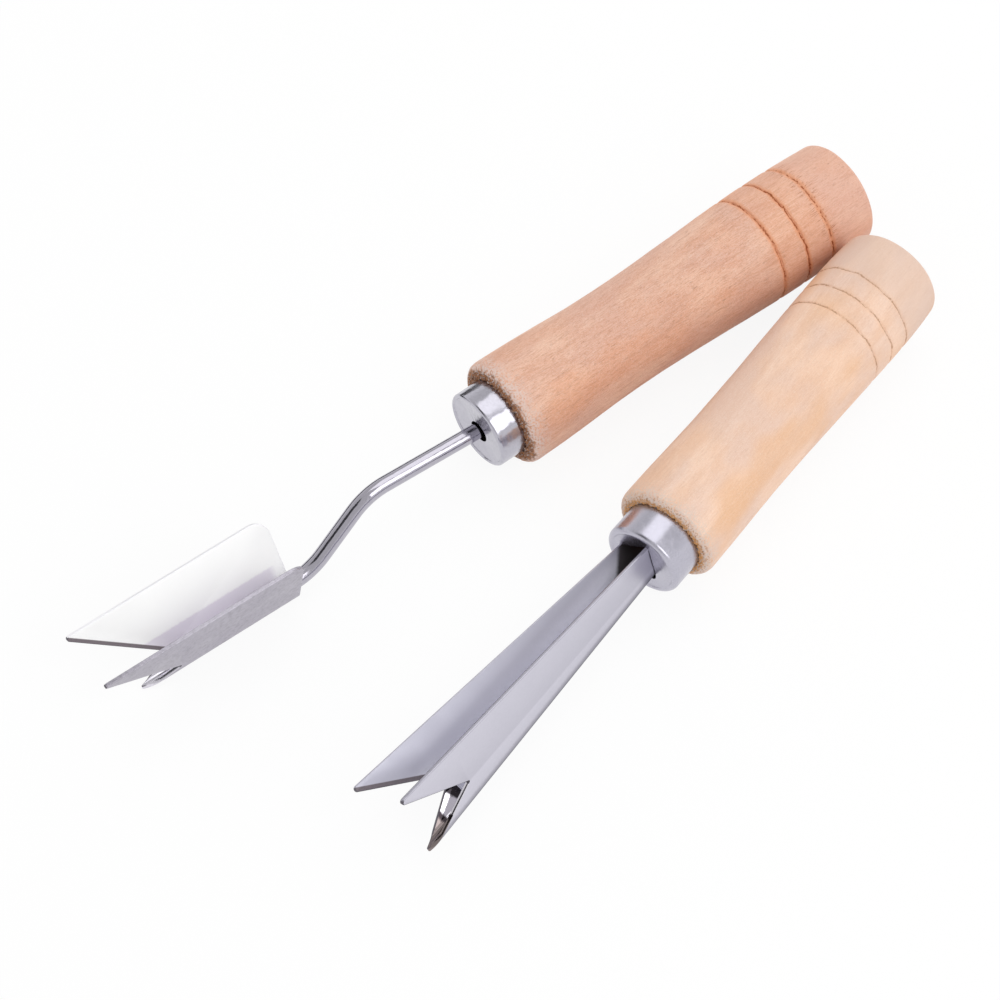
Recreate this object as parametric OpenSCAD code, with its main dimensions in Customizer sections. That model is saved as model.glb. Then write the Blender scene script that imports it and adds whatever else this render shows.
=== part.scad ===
// A pair of uncapping tools for honeycomb: a three-pointed V fork whose tail is driven
// straight into its handle, and a three-pointed V scraper welded to a cranked rod.
// Each tool is drawn with its handle along Y, butt towards +Y and blade towards -Y,
// with the front of the wood at y = 0, and is then laid on the ground plane z = 0.

/* [Fork handle] */
// Length of the fork's wooden handle
fork_handle_len = 99.1; // [80:0.1:130]
// Diameter at the fork handle's shoulder
fork_shoulder_d = 27.7; // [24:0.1:34]
// Diameter at the fork handle's waist
fork_waist_d = 26.8; // [23:0.1:34]
// Diameter at the fork handle's belly
fork_belly_d = 28.6; // [24:0.1:36]
// Diameter at the fork handle's butt
fork_butt_d = 27.3; // [23:0.1:34]
// Distance of the waist from the front of the fork handle
fork_waist_at = 31.1; // [20:0.1:45]
// Distance of the belly from the butt of the fork handle
fork_belly_back = 12; // [10:0.1:30]
// Spacing of the scribed rings on the fork handle
fork_ring_gap = 6.5; // [4:0.1:10]

/* [Scraper handle] */
// Length of the scraper's wooden handle
scraper_handle_len = 112.2; // [80:0.1:130]
// Diameter at the scraper handle's shoulder
scraper_shoulder_d = 28.9; // [24:0.1:34]
// Diameter at the scraper handle's waist
scraper_waist_d = 26.8; // [23:0.1:34]
// Diameter at the scraper handle's belly
scraper_belly_d = 29.9; // [24:0.1:36]
// Diameter at the scraper handle's butt
scraper_butt_d = 28.6; // [23:0.1:34]
// Distance of the waist from the front of the scraper handle
scraper_waist_at = 38.2; // [20:0.1:45]
// Distance of the belly from the butt of the scraper handle
scraper_belly_back = 20.6; // [10:0.1:30]
// Spacing of the scribed rings on the scraper handle
scraper_ring_gap = 8; // [4:0.1:10]

/* [Turning] */
// Rounding of the shoulder at the front of each handle
shoulder_round = 2.5; // [1:0.1:3.5]
// Rounding of the butt's edge
butt_round = 1.8; // [0.5:0.1:4]
// Number of scribed rings on each handle
ring_count = 3; // [1:1:4]
// Distance from the butt to the first scribed ring
ring_from_butt = 14.9; // [8:0.1:20]
// Width of a scribed ring
ring_width = 0.6; // [0.4:0.1:1.6]
// Depth of a scribed ring
ring_depth = 0.4; // [0.2:0.1:1]

/* [Ferrules] */
// Outer diameter of both ferrules
ferrule_d = 20.7; // [18:0.1:23]
// Length of the fork's ferrule in front of the wood
fork_ferrule_len = 9; // [6:0.1:14]
// Length of the scraper's ferrule in front of the wood
scraper_ferrule_len = 7.1; // [6:0.1:14]
// Wall of the ferrules
ferrule_wall = 0.8; // [0.5:0.1:1.2]
// Rounding of the ferrule's front rim
rim_round = 1.3; // [0.9:0.1:2]
// How far the end plate lies behind the rim
plate_recess = 0.4; // [0:0.1:1]
// How far each ferrule is let into the wood
ferrule_sink = 1.4; // [0.5:0.1:3]
// Ring of clearance between the wood's shoulder and the ferrule
sink_play = 0.1; // [0.05:0.05:0.6]
// Clearance between the wooden spigot and the ferrule
spigot_play = 0.1; // [0.05:0.05:0.3]
// Hollow between the wooden spigot and the ferrule's end plate
spigot_gap = 4.0; // [1:0.1:4.5]
// Clearance of the fork's tail in the ferrule's hole
tail_hole_play = 0.5; // [0.2:0.1:1]
// Rounding of the hole's two corners above the fork's flanges
tail_hole_round = 0.8; // [0.3:0.1:1]
// Clearance of the rod in the ferrule's hole
rod_hole_play = 1.2; // [0.2:0.1:1.5]
// How far the rod's hole is punched off the ferrule's middle
rod_hole_off = 0.5; // [0:0.1:1]

/* [Blade sheet] */
// Thickness of the blade steel
sheet = 1.0; // [0.6:0.1:1.6]
// Inside radius of the fold
fold_r = 1.3; // [0.8:0.1:1.9]
// Angle of each flange from the middle plane of the V
v_half = 20.5; // [14:0.5:30]
// Rounding of the points
point_round = 0.8; // [0.3:0.1:1.2]
// Rounding at the root of each notch
notch_round = 0.5; // [0.2:0.1:1]
// How much of the sharp point on each fold is taken off
fold_blunt = 0.6; // [0.3:0.1:1]

/* [Fork blade] */
// Reach of the fork's two outer points from the ferrule
fork_reach = 92.2; // [70:0.1:130]
// How far the fork's fold point lies behind the outer points
fork_fold_back = 3.1; // [1:0.1:12]
// Depth of the fork's notches
fork_notch = 20.7; // [12:0.1:30]
// Width left beside the fold at the root of the fork's notches
fork_notch_floor = 5.4; // [3:0.1:8]
// Width of each flange at the fork's points
fork_flange_tip = 21.2; // [16:0.1:26]
// Width of each flange at the ferrule
fork_flange_root = 8.7; // [7.5:0.1:11]
// Length of the tail inside the handle, counted from the ferrule's front
fork_tail = 38; // [25:0.5:50]
// Distance of the fold below the handle's axis at the ferrule
fork_fold_drop = 4.9; // [4:0.1:6]
// Slope of the fold down from the handle's axis
fork_slope = 2.2; // [0:0.1:4]
// Clearance of the tail in its slot in the wood
slot_play = 0.1; // [0.05:0.05:0.3]

/* [Scraper rod] */
// Diameter of the rod
rod_d = 4.1; // [3.5:0.1:5]
// Straight run of the rod in front of the ferrule
rod_run = 27.3; // [15:0.1:45]
// Radius of the rod's two bends
rod_bend_r = 19.9; // [10:0.1:25]
// Angle of the first bend
crank_angle = 30.5; // [15:0.5:50]
// Angle of the second bend, back in line
return_angle = 28.5; // [10:0.5:50]
// Straight run between the bends
crank_run = 12.5; // [6:0.1:25]
// Length of the rod that lies in the fold of the blade
seat_len = 12; // [6:0.5:20]
// Length of the rod inside the handle, counted from the ferrule's front
rod_tang = 45; // [25:0.5:60]
// Clearance of the rod in its bore in the wood
bore_play = 0.05; // [0.02:0.01:0.2]
// Clearance between the rod and the flanges that it lies between
seat_play = 0.05; // [0.02:0.01:0.2]

/* [Scraper blade] */
// Reach of the scraper's two outer points from its back edge
scraper_reach = 57.1; // [45:0.1:80]
// How far the scraper's fold point lies behind the outer points
scraper_fold_back = 12.0; // [4:0.1:18]
// Depth of the scraper's notches
scraper_notch = 22.9; // [20:0.1:30]
// Width left beside the fold at the root of the scraper's notches
scraper_notch_floor = 2.2; // [1:0.1:6]
// Width of each of the scraper's flanges
scraper_flange = 20.9; // [14:0.1:26]
// Rounding of the flanges' back corners
back_round = 4.5; // [1:0.1:8]

/* [Weld] */
// Width of each weld bead up the flange
weld_leg = 2.0; // [1:0.1:3]
// Length of each weld bead
weld_len = 7; // [3:0.5:12]

/* [Lay of the pair] */
// Turn of the fork about its handle's axis
fork_roll = 35; // [-45:1:45]
// Turn of the scraper's crank about its handle's axis
rod_roll = 22; // [-45:1:45]
// Lean of the rod to the side where it leaves the ferrule
rod_lean_side = -2.9; // [-6:0.1:6]
// Lean of the rod downwards where it leaves the ferrule
rod_lean_down = -1.8; // [-6:0.1:6]
// Turn of the scraper's blade about the rod
blade_twist = -16; // [-40:1:40]
// Angle between the two handles
spread = 14.1; // [5:0.1:30]
// Gap between the fork's butt and the side of the scraper's handle
butt_gap = 0.7; // [0.1:0.1:5]
// Distance from the scraper's butt to where the fork's butt lies beside it
meet_back = 12.4; // [4:0.1:30]

/* [Hidden] */
$fn = 96;
// Where the fork's wood starts, from the middle of the pair
fork_at = [39.71, -0.7];
outline_steps = 6;
fold_steps = 20;
barrel_steps = 12;
rod_r = rod_d / 2;
ferrule_r = ferrule_d / 2;
fold_out = fold_r + sheet;
// Half of the fold's width, measured round it at mid-thickness
half_fold = (fold_r + sheet / 2) * (90 - v_half) * PI / 180;
// Excess of a sheet or a cutter past the line that trims it
trim_over = 1;
// Overlap of a flange's outline into the fold, and the top of the fold's outline
fold_lap = 0.2;
fold_top = -fold_r * sin(v_half) - fold_lap / 2;
// Overlap of the rod's straight runs into its bends, and the bends' thinning
rod_lap = 0.3;
bend_thinning = 0.01;

// A handle's shape: length, shoulder, waist, belly and butt radius, waist and belly place
fork_barrel = [fork_handle_len, fork_shoulder_d / 2, fork_waist_d / 2, fork_belly_d / 2,
    fork_butt_d / 2, fork_waist_at, fork_handle_len - fork_belly_back];
scraper_barrel = [scraper_handle_len, scraper_shoulder_d / 2, scraper_waist_d / 2,
    scraper_belly_d / 2, scraper_butt_d / 2, scraper_waist_at,
    scraper_handle_len - scraper_belly_back];

rod_hole_r = rod_r + rod_hole_play;
fold_middle = fold_r + sheet / 2;
// Reach of each weld bead below the line where the rod comes nearest to the flange, and the
// angle round the rod where the bead's upper edge starts
weld_dip = 0.6;
weld_rise = 60;
seat_rise = (rod_r + seat_play - fold_r) / sin(v_half);

function ease(t) = (1 - cos(180 * t)) / 2;
function unit(v) = v / norm(v);

// Radius of a handle at a distance s from the front of its wood
function barrel_r(b, s) =
    s < b[5] ? b[1] + (b[2] - b[1]) * ease((s - shoulder_round) / (b[5] - shoulder_round)) :
    s < b[6] ? b[2] + (b[3] - b[2]) * ease((s - b[5]) / (b[6] - b[5])) :
    b[3] - (b[3] - b[4]) * (1 - cos(90 * (s - b[6]) / (b[0] - b[6])));

function stations(from, to) = [for (i = [0 : barrel_steps - 1]) from + (to - from) * i / barrel_steps];

// Outline of a handle as [radius, distance from the front], from the spigot to the butt
function handle_outline(b, spigot) = let (spigot_r = ferrule_r - ferrule_wall - spigot_play,
        sink_r = ferrule_r + sink_play, butt_at = b[0] - butt_round)
    concat([[0, -spigot], [spigot_r, -spigot], [spigot_r, ferrule_sink], [sink_r, ferrule_sink], [sink_r, 0]],
        [for (i = [0 : outline_steps - 1]) let (a = 90 * i / outline_steps)
            [b[1] - shoulder_round * (1 - sin(a)), shoulder_round * (1 - cos(a))]],
        [for (s = concat(stations(shoulder_round, b[5]), stations(b[5], b[6]), stations(b[6], butt_at)))
            [barrel_r(b, s), s]],
        [for (i = [0 : outline_steps]) let (a = 90 * i / outline_steps)
            [barrel_r(b, butt_at) - butt_round * (1 - cos(a)), butt_at + butt_round * sin(a)]],
        [[0, b[0]]]);

// Points round one corner p between its neighbours a and b
function corner_arc(a, p, b, r) = r == 0 ? [p] :
    let (u = unit(a - p), v = unit(b - p), half = acos(u * v) / 2,
        middle = p + unit(u + v) * r / sin(half), start = p + u * r / tan(half) - middle,
        stop = p + v * r / tan(half) - middle)
    [for (i = [0 : outline_steps]) middle + r * unit(start + (stop - start) * i / outline_steps)];

// A closed outline whose corners are [x, y, rounding]
function rounded(c) = let (n = len(c)) [for (i = [0 : n - 1])
    let (a = c[(i + n - 1) % n], p = c[i], b = c[(i + 1) % n])
    each corner_arc([a[0], a[1]], [p[0], p[1]], [b[0], b[1]], p[2])];

module lathe(points) rotate([-90, 0, 0]) rotate_extrude() polygon(points);

// Extrudes an outline drawn in Y and Z across X
module across(width) rotate([90, 0, 90]) linear_extrude(width) children();

module ring_groove(b, s) {
    r = barrel_r(b, s);
    half_over = ring_width * (ring_depth + trim_over) / ring_depth / 2;
    lathe([[r - ring_depth, s], [r + trim_over, s - half_over], [r + trim_over, s + half_over]]);
}

module turned_handle(b, ferrule_len, ring_gap) difference() {
    lathe(handle_outline(b, ferrule_len - plate_recess - ferrule_wall - spigot_gap));
    for (i = [0 : ring_count - 1]) ring_groove(b, b[0] - ring_from_butt - i * ring_gap);
}

// A drawn cup: skirt, rounded rim, and an end plate with the hole that the child makes
module ferrule(length) {
    rim = [for (i = [0 : outline_steps]) let (a = 90 * i / outline_steps)
        [ferrule_r - rim_round * (1 - cos(a)), rim_round * (1 - sin(a)) - length]];
    plate = plate_recess - length;
    difference() {
        lathe(concat([[ferrule_r - ferrule_wall, ferrule_sink], [ferrule_r, ferrule_sink]], rim,
            [[ferrule_r - rim_round - plate_recess, plate], [0, plate], [0, plate + ferrule_wall],
                [ferrule_r - ferrule_wall, plate + ferrule_wall]]));
        children();
    }
}

// Points round the fold at radius r, from the angle a to the angle b
function fold_arc(r, a, b) = [for (i = [0 : fold_steps]) let (t = a + (b - a) * i / fold_steps)
    r * [cos(t), sin(t)]];

// Top of a flange of a given width, on the face that touches the fold's circle of radius r
function flange_top(r, width) = r * [cos(v_half), -sin(v_half)] + width * [sin(v_half), cos(v_half)];
function mirrored(p) = [-p[0], p[1]];

// Section of the folded sheet in X and Z about the fold's axis, with play added on every side
module v_section(width, play) {
    outside = flange_top(fold_out + play, width);
    inside = flange_top(fold_r - play, width);
    polygon(concat([outside], fold_arc(fold_out + play, -v_half, v_half - 180),
        [mirrored(outside), mirrored(inside)], fold_arc(fold_r - play, v_half - 180, -v_half), [inside]));
}

// Folded V: a long folded sheet, trimmed to a flat outline on each flange and a side outline
// on the fold. Outlines are drawn as [distance back, height].
module folded_v(flange_outline, fold_outline, back, front, width, play) intersection() {
    translate([0, back + trim_over, 0]) rotate([90, 0, 0])
        linear_extrude(front + back + 2 * trim_over) v_section(width, play);
    union() {
        for (side = [0, 1]) mirror([side, 0, 0]) rotate([0, v_half, 0])
            translate([fold_r - trim_over / 2, 0, 0]) across(sheet + trim_over) polygon(flange_outline);
        translate([-2 * fold_out, 0, 0]) across(4 * fold_out) polygon(fold_outline);
    }
}

// Where a notch's edge crosses from the flange into the fold, for a notch root and a fold point
function fold_start(root, floor, point) = root + (point - root) * floor / (floor + half_fold);

// A three-pointed blade: its two notches leave a point on each flange and one on the fold.
// A notch is one straight cut on the flat sheet, so its edge curves round the fold.
module three_point_v(back, reach, fold_back, notch, notch_floor, top_outline, width) {
    root = reach - notch;
    point = reach - fold_back;
    start = fold_start(root, notch_floor, point);
    lap = start + (start - root) * fold_lap / notch_floor;
    flange = concat([[back, -fold_lap, 0], [-lap, -fold_lap, 0], [-root, notch_floor, notch_round]],
        top_outline);
    run = point - start;
    edge = [for (i = [0 : fold_steps]) let (t = (1 - fold_blunt / run) * i / fold_steps)
        [-start - run * t, -fold_middle * sin(v_half + (90 - v_half) * t)]];
    fold = concat([[back, fold_top], [-start, fold_top]], edge,
        [[fold_blunt - point, -2 * fold_out], [back, -2 * fold_out]]);
    folded_v(rounded(flange), fold, back, reach, width + trim_over, 0);
}

fork_taper = (fork_flange_tip - fork_flange_root) / fork_reach;
tail_flange = fork_flange_root - fork_taper * fork_tail;

module fork_v() three_point_v(fork_tail, fork_reach, fork_fold_back, fork_notch, fork_notch_floor,
    [[-fork_reach, fork_flange_tip, point_round], [fork_tail, tail_flange, 0]], fork_flange_tip);

// The slot that the fork's tail fills in the wood
module fork_slot() {
    back = fork_tail + slot_play;
    flange = [[back, -fold_lap], [0, -fold_lap], [0, fork_flange_root + slot_play],
        [back, tail_flange + slot_play]];
    fold = [[back, fold_top], [0, fold_top], [0, -2 * fold_out], [back, -2 * fold_out]];
    folded_v(flange, fold, back, 0, fork_flange_root + trim_over, slot_play);
}

// The hole for the fork's tail: a rounded triangle that clears the folded sheet
module tail_hole() {
    clear = fold_out + tail_hole_play;
    low = -clear / sin(v_half);
    top = flange_top(fold_out, fork_flange_root)[1] + tail_hole_play;
    side = (top - low) * tan(v_half);
    translate([0, spigot_gap, 0]) rotate([90, 0, 0]) linear_extrude(spigot_gap + trim_over)
        polygon(rounded([[side, top, tail_hole_round], [-side, top, tail_hole_round], [0, low, clear]]));
}

module rod_hole() translate([rod_hole_off, spigot_gap - scraper_ferrule_len, 0]) rotate([90, 0, 0])
    cylinder(r = rod_hole_r, h = spigot_gap + trim_over);

module scraper_v() three_point_v(0, scraper_reach, scraper_fold_back, scraper_notch, scraper_notch_floor,
    [[-scraper_reach, scraper_flange, point_round], [0, scraper_flange, back_round]], scraper_flange);

// Rod pieces run along -Y; each following piece is placed at the end of the last.
// The bends are a hair thinner than the runs, which lap over their ends.
module rod_piece(back, front) translate([0, back, 0]) rotate([90, 0, 0])
    cylinder(r = rod_r, h = back + front);

module rod_elbow(angle) mirror([0, 0, angle < 0 ? 1 : 0]) translate([0, 0, -rod_bend_r])
    rotate([180, -90, 0]) rotate_extrude(angle = abs(angle)) translate([rod_bend_r, 0])
    circle(rod_r - bend_thinning);

module after_run(length) translate([0, -length, 0]) children();

module after_bend(angle) translate([0, 0, -sign(angle) * rod_bend_r]) rotate([angle, 0, 0])
    translate([0, 0, sign(angle) * rod_bend_r]) children();

module at_rod() translate([0, -scraper_ferrule_len, 0]) rotate([0, 0, rod_lean_side])
    rotate([rod_lean_down, 0, 0]) rotate([0, -rod_roll, 0]) children();

module at_crank() at_rod() after_run(rod_run) children();

module at_return() at_crank() after_bend(crank_angle) after_run(crank_run) children();

// The seat: on the rod's axis, where it meets the back of the blade
module at_seat() at_return() after_bend(-return_angle) rotate([0, -blade_twist, 0]) children();

module rod_shape() {
    at_rod() rod_piece(rod_tang, rod_run + rod_lap);
    at_crank() rod_elbow(crank_angle);
    at_crank() after_bend(crank_angle) rod_piece(rod_lap, crank_run + rod_lap);
    at_return() rod_elbow(-return_angle);
    at_seat() rod_piece(rod_lap, seat_len);
}

// One bead fills the corner between the rod and a flange, drawn as a section in X and Z
module weld_bead() {
    out = [cos(v_half), -sin(v_half)];
    up = [sin(v_half), cos(v_half)];
    foot = (rod_r + seat_play) * out;
    rotate([90, 0, 0]) linear_extrude(weld_len) difference() {
        polygon([foot - weld_dip * up, foot + weld_leg * up, rod_r * [cos(weld_rise), sin(weld_rise)],
            [rod_r / 2, 0]]);
        circle(rod_r);
    }
}

// Each tool rests on the ground at its shoulder and its belly
function rest_tilt(b) = atan((b[3] - b[1]) / (b[6] - shoulder_round));
function rest_height(b) = b[1] * cos(rest_tilt(b)) - shoulder_round * sin(rest_tilt(b));

module lay_fork() translate([fork_at[0], fork_at[1], rest_height(fork_barrel)])
    rotate([rest_tilt(fork_barrel), 0, 0]) children();

// The scraper lies with the side of its handle beside the fork's butt
fork_corner = fork_at + [-barrel_r(fork_barrel, fork_handle_len - butt_round), fork_handle_len - butt_round];
meet_at = scraper_handle_len - meet_back;

module lay_scraper() translate([fork_corner[0], fork_corner[1], rest_height(scraper_barrel)])
    rotate([0, 0, -spread])
    translate([-barrel_r(scraper_barrel, meet_at) - butt_gap, -meet_at, 0])
    rotate([rest_tilt(scraper_barrel), 0, 0]) children();

module at_fork_fold() translate([0, -fork_ferrule_len, 0]) rotate([0, -fork_roll, 0])
    translate([0, 0, -fork_fold_drop]) rotate([fork_slope, 0, 0]) translate([0, 0, fold_out]) children();

module fork_handle() color("burlywood") lay_fork() difference() {
    turned_handle(fork_barrel, fork_ferrule_len, fork_ring_gap);
    at_fork_fold() fork_slot();
}

module fork_ferrule() color("silver") lay_fork() ferrule(fork_ferrule_len) at_fork_fold() tail_hole();

module fork_blade() color("lightsteelblue") lay_fork() at_fork_fold() fork_v();

module scraper_handle() color("tan") lay_scraper() difference() {
    turned_handle(scraper_barrel, scraper_ferrule_len, scraper_ring_gap);
    at_rod() rotate([-90, 0, 0]) cylinder(r = rod_r + bore_play, h = rod_tang + bore_play);
}

module scraper_ferrule() color("silver") lay_scraper() ferrule(scraper_ferrule_len) rod_hole();

module scraper_rod() color("lightgrey") lay_scraper() rod_shape();

module scraper_blade() color("lightsteelblue") lay_scraper() at_seat()
    translate([0, 0, -seat_rise]) scraper_v();

module scraper_weld() color("white") lay_scraper() at_seat()
    for (side = [0, 1]) mirror([side, 0, 0]) weld_bead();

fork_handle();
fork_ferrule();
fork_blade();
scraper_handle();
scraper_ferrule();
scraper_rod();
scraper_blade();
scraper_weld();
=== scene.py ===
import math

import bmesh
import bpy
from mathutils import Matrix, Vector


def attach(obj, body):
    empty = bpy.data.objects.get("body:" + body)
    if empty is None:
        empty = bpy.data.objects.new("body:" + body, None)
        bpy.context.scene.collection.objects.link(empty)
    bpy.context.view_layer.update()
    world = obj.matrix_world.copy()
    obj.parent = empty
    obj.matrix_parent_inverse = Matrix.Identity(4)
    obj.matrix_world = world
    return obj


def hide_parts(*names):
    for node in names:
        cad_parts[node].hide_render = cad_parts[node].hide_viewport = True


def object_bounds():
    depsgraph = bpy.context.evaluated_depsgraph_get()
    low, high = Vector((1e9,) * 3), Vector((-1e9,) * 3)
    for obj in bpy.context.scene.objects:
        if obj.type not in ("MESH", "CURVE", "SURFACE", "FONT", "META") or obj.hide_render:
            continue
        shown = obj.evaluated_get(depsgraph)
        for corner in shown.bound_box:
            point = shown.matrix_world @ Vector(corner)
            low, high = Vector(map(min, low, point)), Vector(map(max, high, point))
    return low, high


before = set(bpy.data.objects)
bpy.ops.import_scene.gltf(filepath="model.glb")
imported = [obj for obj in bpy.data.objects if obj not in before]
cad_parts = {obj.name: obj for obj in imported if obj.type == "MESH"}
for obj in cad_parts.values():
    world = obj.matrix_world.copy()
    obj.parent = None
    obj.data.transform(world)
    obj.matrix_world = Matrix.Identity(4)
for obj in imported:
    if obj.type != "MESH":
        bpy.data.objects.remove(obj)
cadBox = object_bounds()
scene = bpy.context.scene
scene.view_settings.view_transform = "Standard"
print("frame loaded")

# Every length is in millimetres unless a note says otherwise. Each tool has its handle along Y and its
# blade towards -Y, and starts where its ferrule meets the wood.


def shift(x=0.0, y=0.0, z=0.0):
    return Matrix.Translation((x, y, z))


def turn(x=0.0, y=0.0, z=0.0):
    about = [Matrix.Rotation(math.radians(a), 4, name) for a, name in ((z, "Z"), (y, "Y"), (x, "X"))]
    return about[0] @ about[1] @ about[2]


def ease(t):  # a smooth run from 0 to 1
    return (1 - math.cos(math.pi * t)) / 2


def startPiece(name):  # every piece starts as a flat square, open in edit mode
    if bpy.context.object and bpy.context.object.mode != "OBJECT":
        bpy.ops.object.mode_set(mode="OBJECT")
    bpy.ops.object.select_all(action="DESELECT")
    bpy.ops.mesh.primitive_plane_add(size=1)
    piece = bpy.context.object
    piece.name = name
    piece.data.name = name
    bpy.ops.object.mode_set(mode="EDIT")
    return piece


def clearPiece():
    bpy.ops.mesh.select_all(action="SELECT")
    bpy.ops.mesh.delete(type="VERT")


def pick(kind, test):  # selects the parts whose middle passes the test
    bpy.ops.mesh.select_mode(type={"verts": "VERT", "edges": "EDGE", "faces": "FACE"}[kind])
    bpy.ops.mesh.select_all(action="DESELECT")
    shape = bmesh.from_edit_mesh(bpy.context.object.data)
    for part in getattr(shape, kind):
        points = [part.co] if kind == "verts" else [v.co for v in part.verts]
        middle = sum(points, Vector()) / len(points)
        if test(middle, part):
            part.select_set(True)
    shape.select_flush_mode()
    bmesh.update_edit_mesh(bpy.context.object.data)


def drawOutline(points):  # one vertex, drawn out along a profile of (radius, distance)
    bpy.ops.mesh.select_all(action="SELECT")
    bpy.ops.mesh.merge(type="CENTER")
    bpy.ops.mesh.select_mode(type="VERT")
    bpy.ops.mesh.select_all(action="SELECT")
    bpy.ops.transform.translate(value=(points[0][0], points[0][1], 0))
    for a, b in zip(points, points[1:]):
        bpy.ops.mesh.extrude_vertices_move(
            TRANSFORM_OT_translate={"value": (b[0] - a[0], b[1] - a[1], 0)})


def spinOutline(steps):
    bpy.ops.mesh.select_all(action="SELECT")
    bpy.ops.mesh.spin(steps=steps, angle=2 * math.pi, center=(0, 0, 0), axis=(0, 1, 0))
    bpy.ops.mesh.select_all(action="SELECT")
    bpy.ops.mesh.remove_doubles(threshold=0.0005)
    closePiece()


def turnSelected(angle, axis):
    bpy.ops.transform.rotate(value=angle, orient_axis=axis, center_override=(0, 0, 0))


def closePiece():
    bpy.ops.mesh.select_all(action="SELECT")
    bpy.ops.mesh.normals_make_consistent(inside=False)
    bpy.ops.object.mode_set(mode="OBJECT")


def modify(piece, kind, **settings):
    change = piece.modifiers.new(kind.title(), kind)
    for name, value in settings.items():
        setattr(change, name, value)
    bpy.context.view_layer.objects.active = piece
    bpy.ops.object.modifier_apply(modifier=change.name)


def wear(piece, size, amount, group="", depth=1, level=1.0):  # moved by a noise, only inward at level 1
    grain = bpy.data.textures.new(piece.name + "Wear", "CLOUDS")
    grain.noise_scale = size
    grain.noise_depth = depth
    modify(piece, "DISPLACE", texture=grain, texture_coords="LOCAL", strength=amount,
           mid_level=level, vertex_group=group)


def mark(piece, name, weigh):  # a vertex group, weighted by the place of each vertex
    group = piece.vertex_groups.new(name=name)
    for v in piece.data.vertices:
        weight = weigh(v.co)
        if weight > 0.01:
            group.add([v.index], min(weight, 1.0), "REPLACE")


def layPiece(piece, place, node, smooth=None):
    if piece.mode != "OBJECT":
        bpy.ops.object.mode_set(mode="OBJECT")
    bpy.ops.object.select_all(action="DESELECT")
    piece.select_set(True)
    bpy.context.view_layer.objects.active = piece
    piece.matrix_world = Matrix.Scale(0.001, 4) @ place
    bpy.ops.object.transform_apply(location=True, rotation=True, scale=True)
    if smooth is None:
        bpy.ops.object.shade_smooth()
    else:
        bpy.ops.object.shade_smooth_by_angle(angle=math.radians(smooth))
    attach(piece, "root")
    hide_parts(node)
    print(piece.name, "done,", len(piece.data.polygons), "faces")


def newFinish(name, place):
    material = bpy.data.materials.new(name)
    material.use_nodes = True
    tree = material.node_tree
    tree.nodes.clear()
    out = tree.nodes.new("ShaderNodeOutputMaterial")
    shader = tree.nodes.new("ShaderNodeBsdfPrincipled")
    tree.links.new(shader.outputs[0], out.inputs["Surface"])
    coords = tree.nodes.new("ShaderNodeTexCoord")
    local = tree.nodes.new("ShaderNodeMapping")  # metres to the tool's own millimetres
    back = place.inverted()
    local.inputs["Scale"].default_value = (1000, 1000, 1000)
    local.inputs["Rotation"].default_value = back.to_euler()
    local.inputs["Location"].default_value = back.translation
    tree.links.new(coords.outputs["Object"], local.inputs["Vector"])
    return material, tree, shader, local.outputs["Vector"]


def put(tree, kind, inputs=(), **settings):
    node = tree.nodes.new(kind)
    for name, value in settings.items():
        setattr(node, name, value)
    for name, value in dict(inputs).items():
        if isinstance(value, bpy.types.NodeSocket):
            tree.links.new(value, node.inputs[name])
        else:
            node.inputs[name].default_value = value
    return node


def stretched(tree, vector, scale, turned=(0, 0, 0)):
    return put(tree, "ShaderNodeMapping", {"Vector": vector, "Scale": scale, "Rotation": turned}).outputs[0]


def noise(tree, vector, size, detail=2.0, roughness=0.5, distortion=0.0):  # the size is a length
    return put(tree, "ShaderNodeTexNoise", {
        "Vector": vector, "Scale": 1.0 / size, "Detail": detail, "Roughness": roughness,
        "Distortion": distortion}).outputs["Fac"]


def remap(tree, value, low, high, toLow=0.0, toHigh=1.0):
    return put(tree, "ShaderNodeMapRange", {
        "Value": value, "From Min": low, "From Max": high, "To Min": toLow, "To Max": toHigh},
        interpolation_type="SMOOTHSTEP", clamp=True).outputs[0]


def maths(tree, operation, a, b=0.0):
    return put(tree, "ShaderNodeMath", {0: a, 1: b}, operation=operation).outputs[0]


def total(tree, *parts):  # each part is a socket and its share
    result = None
    for socket, share in parts:
        term = maths(tree, "MULTIPLY", socket, share)
        result = term if result is None else maths(tree, "ADD", result, term)
    return result


def largest(tree, sockets):
    result = sockets[0]
    for socket in sockets[1:]:
        result = maths(tree, "MAXIMUM", result, socket)
    return result


def roundAxis(tree, local):  # distance from the tool's axis, distance along it, and the skin laid flat
    flatRadius = 13.0  # where the flat skin has its true width
    x, y, z = put(tree, "ShaderNodeSeparateXYZ", {0: local}).outputs
    squares = maths(tree, "ADD", maths(tree, "MULTIPLY", x, x), maths(tree, "MULTIPLY", z, z))
    away = maths(tree, "SQRT", squares)
    around = maths(tree, "MULTIPLY", maths(tree, "ARCTAN2", x, z), flatRadius)
    skin = put(tree, "ShaderNodeCombineXYZ", {"X": around, "Y": y, "Z": away}).outputs[0]
    return away, y, skin


def blendColour(tree, factor, a, b):
    node = put(tree, "ShaderNodeMix", data_type="RGBA")
    for socket, value in ((node.inputs[0], factor), (node.inputs[6], a), (node.inputs[7], b)):
        if isinstance(value, bpy.types.NodeSocket):
            tree.links.new(value, socket)
        else:
            socket.default_value = value
    return node.outputs[2]


def linear(level):
    share = level / 255
    return share / 12.92 if level <= 10 else ((share + 0.055) / 1.055) ** 2.4


def srgb(r, g, b):
    return linear(r), linear(g), linear(b), 1.0


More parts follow.
